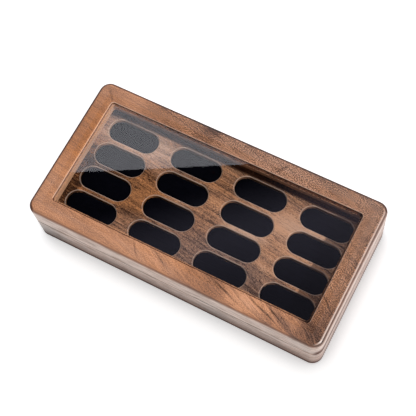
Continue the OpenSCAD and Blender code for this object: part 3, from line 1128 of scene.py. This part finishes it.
def apply_modifier(piece, kind, **settings):
    """Adds a modifier with these settings and applies it."""
    select_only(piece)
    modifier = piece.modifiers.new(kind.lower(), kind)
    for name, value in settings.items():
        setattr(modifier, name, value)
    bpy.ops.object.modifier_apply(modifier=modifier.name)


print("tools for solid pieces ready")


# %% [markdown]
# ### The foam
#
# The foam is a block with a round end at each side. A cube is stretched to its size, its
# four upright edges are bevelled until the ends are round, and a small bevel softens the
# rim at the top. A remesh then gives it even faces, which cloth needs to swell evenly.

# %% Shape the foam
END_ROUND = 0.97
END_SEGMENTS = 12
RIM_SEGMENTS = 3
FOAM_FACE = 1.25 * MM


def foam_block():
    """A pad before it is covered: quarter rounds at its four upright edges, a soft rim."""
    half = BIG * (pad_length / 2 - PAD_SLACK)
    back = BIG * (pad_width / 2 - PAD_SLACK)
    top = BIG * (pad_height - PAD_SLACK)
    foam = block("foam", (-half, -back, 0), (half, back, top))
    bevel_edges(foam, lambda a, b: abs(a.z - b.z) > top / 2, END_ROUND * back, END_SEGMENTS)
    bevel_edges(foam, lambda a, b: min(a.z, b.z) > top * 0.99, BIG * PAD_EDGE, RIM_SEGMENTS)
    return foam


foam = foam_block()
apply_modifier(foam, "REMESH", mode="VOXEL", voxel_size=BIG * FOAM_FACE)
print("foam:", len(foam.data.polygons), "even faces")


# %% [markdown]
# ### The cover
#
# Velvet is pulled round the foam and the pad is pushed into its pocket, so its edges are
# round and its top is crowned. A short cloth simulation with air pressure inside swells
# the block in the same way. What swells too far is held back, and the pad is then
# pressed flat where the wall of its pocket stops it.

# %% Cover it and press it into its pocket
CLOTH_FRAMES = 20
CLOTH_PRESSURE = 4.0
CLOTH_STIFFNESS = 15
MOST_SWELL = BIG * 0.4 * MM
BULGE = 1.03


def swell(piece):
    """Swells piece by a short cloth simulation under pressure, without gravity."""
    select_only(piece)
    cloth = piece.modifiers.new("cloth", "CLOTH")
    cloth.settings.use_pressure = True
    cloth.settings.uniform_pressure_force = CLOTH_PRESSURE
    cloth.settings.effector_weights.gravity = 0
    cloth.settings.tension_stiffness = CLOTH_STIFFNESS
    cloth.settings.compression_stiffness = CLOTH_STIFFNESS
    cloth.point_cache.frame_start = 1
    cloth.point_cache.frame_end = CLOTH_FRAMES
    for frame_number in range(1, CLOTH_FRAMES + 1):
        bpy.context.scene.frame_set(frame_number)
    bpy.ops.object.modifier_apply(modifier=cloth.name)
    bpy.context.scene.frame_set(1)


def press_into_pocket(piece, before):
    """Caps how far a point moved, fits the pad to its pocket and stops it at the wall."""
    points = [v.co for v in piece.data.vertices]
    for now, was in zip(points, before):
        move = now - was
        if move.length > MOST_SWELL:
            now[:] = was + move * (MOST_SWELL / move.length)
    half_length = BIG * (pad_length / 2 - WALL_ROOM)
    half_width = BIG * (pad_width / 2 - WALL_ROOM)
    low, high = [[pick(p[k] for p in points) for k in range(3)] for pick in (min, max)]
    for spot in points:
        spot.x *= half_length / high[0]
        spot.y *= BULGE * half_width / high[1]
        spot.z = (spot.z - low[2]) * BIG * pad_height / (high[2] - low[2])
        middle_x = max(half_width - half_length, min(half_length - half_width, spot.x))
        out = Vector((spot.x - middle_x, spot.y))
        if out.length > half_width:
            out *= half_width / out.length
            spot.x = middle_x + out.x
            spot.y = out.y


points_before = [v.co.copy() for v in foam.data.vertices]
swell(foam)
press_into_pocket(foam, points_before)
apply_modifier(foam, "SUBSURF", levels=1, render_levels=1)
print("pad top", round(max(v.co.z for v in foam.data.vertices) / BIG / MM, 2), "mm")


# %% [markdown]
# ### The slit
#
# The slit is a straight cut from end to end, deep enough for a ring's band. The cheeks
# press together, so it is very narrow. A thin block is taken away from the pad, and the
# pad is then scaled down to its true size, with the sharp edges of the cut kept sharp.

# %% Cut the slit
SMOOTH_BELOW = math.radians(40)


def slit_pad(pad):
    """Cuts the slit for the rings from end to end, and scales the pad to its true size."""
    reach = BIG * pad_length
    low = (-reach, -BIG * SLIT_WIDTH / 2, BIG * (pad_height - SLIT_DEPTH))
    knife = block("knife", low, (reach, BIG * SLIT_WIDTH / 2, BIG * 2 * pad_height))
    apply_modifier(pad, "BOOLEAN", object=knife, operation="DIFFERENCE", solver="EXACT")
    bpy.data.objects.remove(knife)
    select_only(pad)
    bpy.ops.transform.resize(value=(1 / BIG,) * 3, center_override=ORIGIN)
    bpy.ops.object.transform_apply(location=True, rotation=True, scale=True)
    bpy.ops.object.shade_smooth_by_angle(angle=SMOOTH_BELOW)
    pad.name = "pad_master"
    return pad


pad_master = slit_pad(foam)
print("pad:", len(pad_master.data.polygons), "faces,",
      [round(v / MM, 2) for v in pad_master.dimensions], "mm")


# %% [markdown]
# ## Velvet
#
# Velvet is short pile standing on a cloth. It swallows light that falls straight into
# it and gives a soft bluish gleam at a grazing angle, so the shader is nearly black with
# sheen on top. A fine noise breaks up the pile, and a slow one brushes it in patches.

# %% Velvet finish
VELVET_DEEP = (0.0010, 0.0011, 0.0022, 1)
VELVET_BRUSHED = (0.0020, 0.0019, 0.0036, 1)
VELVET_ROUGHNESS = 0.95
SHEEN = 0.02
SHEEN_ROUGHNESS = 0.35
SHEEN_TINT = (0.55, 0.6, 0.9, 1)
PILE_RELIEF = 0.10 * MM


def velvet_finish():
    """Nearly black, with sheen, a fine pile and patches brushed the other way."""
    material, tree, shader = new_finish("black_velvet")
    place, _axes = place_in_mm(tree)
    pile = noise(tree, place, 1.2, detail=1.0, roughness=0.5)
    brushed = noise(tree, place, 0.22, detail=2.0)
    share = reckon(tree, "MULTIPLY_ADD", pile, 0.5, reckon(tree, "MULTIPLY", brushed, 0.5))
    shade = mix_colours(tree, ease(tree, share, 0.3, 0.75), VELVET_DEEP, VELVET_BRUSHED)
    tree.links.new(shade, shader.inputs["Base Color"])
    shader.inputs["Roughness"].default_value = VELVET_ROUGHNESS
    shader.inputs["Specular IOR Level"].default_value = 0.0
    shader.inputs["Sheen Weight"].default_value = SHEEN
    shader.inputs["Sheen Roughness"].default_value = SHEEN_ROUGHNESS
    shader.inputs["Sheen Tint"].default_value = SHEEN_TINT
    bump = add_node(
        tree, "ShaderNodeBump", {"Height": pile, "Strength": 0.06, "Distance": PILE_RELIEF}
    )
    tree.links.new(bump.outputs[0], shader.inputs["Normal"])
    return material


velvet = velvet_finish()
pad_master.data.materials.clear()
pad_master.data.materials.append(velvet)
print("velvet on the pad:", pad_master.data.materials[0].name)


# %% [markdown]
# ### Sixteen pads
#
# Each pad is a copy of the first, with a mesh of its own, laid where the CAD pad of its
# name lies. Every other one is turned round, since hand-made pads are never all alike.
# The pads ride on the base and take the place of the plain solids.

# %% Lay a pad in every pocket
def lay_pad(name, turned):
    """A copy of the master, with its own mesh, where the CAD pad of this name lies."""
    low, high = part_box(name)
    pad = bpy.data.objects.new("velvet_" + name, pad_master.data.copy())
    bpy.context.scene.collection.objects.link(pad)
    half_turn = Matrix.Rotation(math.pi if turned else 0, 4, "Z")
    middle = Vector(((low.x + high.x) / 2, (low.y + high.y) / 2, low.z))
    pad.data.transform(Matrix.Translation(middle) @ half_turn)
    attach(pad, "base")
    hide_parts(name)
    return pad


pads = [lay_pad(name, turned=count % 2 == 1) for count, name in enumerate(PAD_NAMES)]
bpy.data.objects.remove(pad_master)
print(len(pads), "velvet pads")


# %% [markdown]
# ## Slotted screws
#
# Eight small countersunk brass screws hold the hinge leaves, four in the base and four
# in the lid. Their sizes are measured from the CAD screws that they stand for.

# %% Measure a screw
SCREW_SLOT_WIDTH = 0.4 * MM
SCREW_SLOT_DEPTH = 0.35 * MM
SCREW_SIDES = 32
SHANK_SHARE = 0.47
TIP_SHARE = 0.12
EDGE_BREAK = 0.05 * MM
SCREW_SMOOTH_BELOW = math.radians(35)
screws_low, screws_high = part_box("base_leaf_screws")
head_radius = (screws_high.y - screws_low.y) / 2
shank_radius = head_radius * SHANK_SHARE
screw_length = screws_high.z - screws_low.z
print("screw", [round(v / MM, 2) for v in (2 * head_radius, screw_length)], "mm")


# %% [markdown]
# One screw is turned from a cylinder: its lower face is drawn in to the shank, which makes
# the cone of the head, and is then extruded down to a tapered tip. A block cuts the slot
# straight across the head, and a small bevel breaks the edges.

# %% Model one screw
def faces_where(piece, chosen):
    """Selects the faces of piece whose middle and normal pass the test."""
    select_only(piece)
    bpy.ops.object.mode_set(mode="EDIT")
    bpy.ops.mesh.select_mode(type="FACE")
    bpy.ops.mesh.select_all(action="DESELECT")
    bpy.ops.object.mode_set(mode="OBJECT")
    for face in piece.data.polygons:
        face.select = chosen(face.center, face.normal)


def slotted_screw():
    """One screw with its head's face at Z 0, its shank down, and its slot along X."""
    select_only()
    cone = head_radius - shank_radius
    bpy.ops.mesh.primitive_cylinder_add(
        vertices=SCREW_SIDES, radius=head_radius, depth=cone, location=(0, 0, -cone / 2)
    )
    screw = bpy.context.object
    bpy.ops.object.transform_apply(location=True, rotation=True, scale=True)
    faces_where(screw, lambda middle, normal: normal.z < -0.9)
    bpy.ops.object.mode_set(mode="EDIT")
    narrow = shank_radius / head_radius
    bpy.ops.transform.resize(value=(narrow, narrow, 1), center_override=(0, 0, -cone))
    tip = 2 * shank_radius
    for down, narrower in ((screw_length - cone - tip, 1.0), (tip, TIP_SHARE)):
        bpy.ops.mesh.extrude_region_move(TRANSFORM_OT_translate={"value": (0, 0, -down)})
        bpy.ops.transform.resize(value=(narrower, narrower, 1), center_override=ORIGIN)
    bpy.ops.object.mode_set(mode="OBJECT")
    slot = block(
        "slot", (-2 * head_radius, -SCREW_SLOT_WIDTH / 2, -SCREW_SLOT_DEPTH),
        (2 * head_radius, SCREW_SLOT_WIDTH / 2, SCREW_SLOT_DEPTH),
    )
    apply_modifier(screw, "BOOLEAN", object=slot, operation="DIFFERENCE", solver="EXACT")
    bpy.data.objects.remove(slot)
    apply_modifier(screw, "BEVEL", width=EDGE_BREAK, segments=2, limit_method="ANGLE")
    bpy.ops.object.shade_smooth_by_angle(angle=SCREW_SMOOTH_BELOW)
    screw.data.materials.append(brass)
    return screw


master_screw = slotted_screw()
print("screw:", len(master_screw.data.polygons), "faces")


# %% [markdown]
# ### Eight screws
#
# A screw stops where it bites, so the slots of a row all point another way. The four
# screws of a body are joined to one piece, as they are in the CAD model, and ride on that
# body. Those of the lid hang upside down while it is closed.

# %% Drive four screws into the base and four into the lid
SLOT_TURNS_BY = 37


def drive_screws(name, node_name, body, facing_up, first_turn):
    """Four screws joined as one piece, where the CAD node's four screws are."""
    low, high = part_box(node_name)
    row_y = (low.y + high.y) / 2
    face_z = high.z if facing_up else low.z
    made = []
    for side in ("left", "right"):
        leaf_low, leaf_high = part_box(f"hinge_{side}_base_leaf")
        leaf_x = (leaf_low.x + leaf_high.x) / 2
        half_pitch = abs(low.x - (leaf_x if side == "left" else -leaf_x)) - head_radius
        for hand in (-1, 1):
            place = Vector((leaf_x + hand * half_pitch, row_y, face_z))
            turn = Matrix.Rotation(math.radians(first_turn + SLOT_TURNS_BY * len(made)), 4, "Z")
            over = Matrix.Rotation(0 if facing_up else math.pi, 4, "X")
            screw = bpy.data.objects.new(name, master_screw.data.copy())
            screw.data.transform(Matrix.Translation(place) @ over @ turn)
            bpy.context.scene.collection.objects.link(screw)
            made.append(screw)
    select_only(*made)
    bpy.ops.object.join()
    made[0].name = name
    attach(made[0], body)
    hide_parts(node_name)
    return made[0]


base_screws = drive_screws("base_screws", "base_leaf_screws", "base", True, 20)
lid_screws = drive_screws("lid_screws", "lid_leaf_screws", "lid", False, 65)
bpy.data.objects.remove(master_screw)
print("screws in base and lid:", [len(s.data.polygons) for s in (base_screws, lid_screws)])
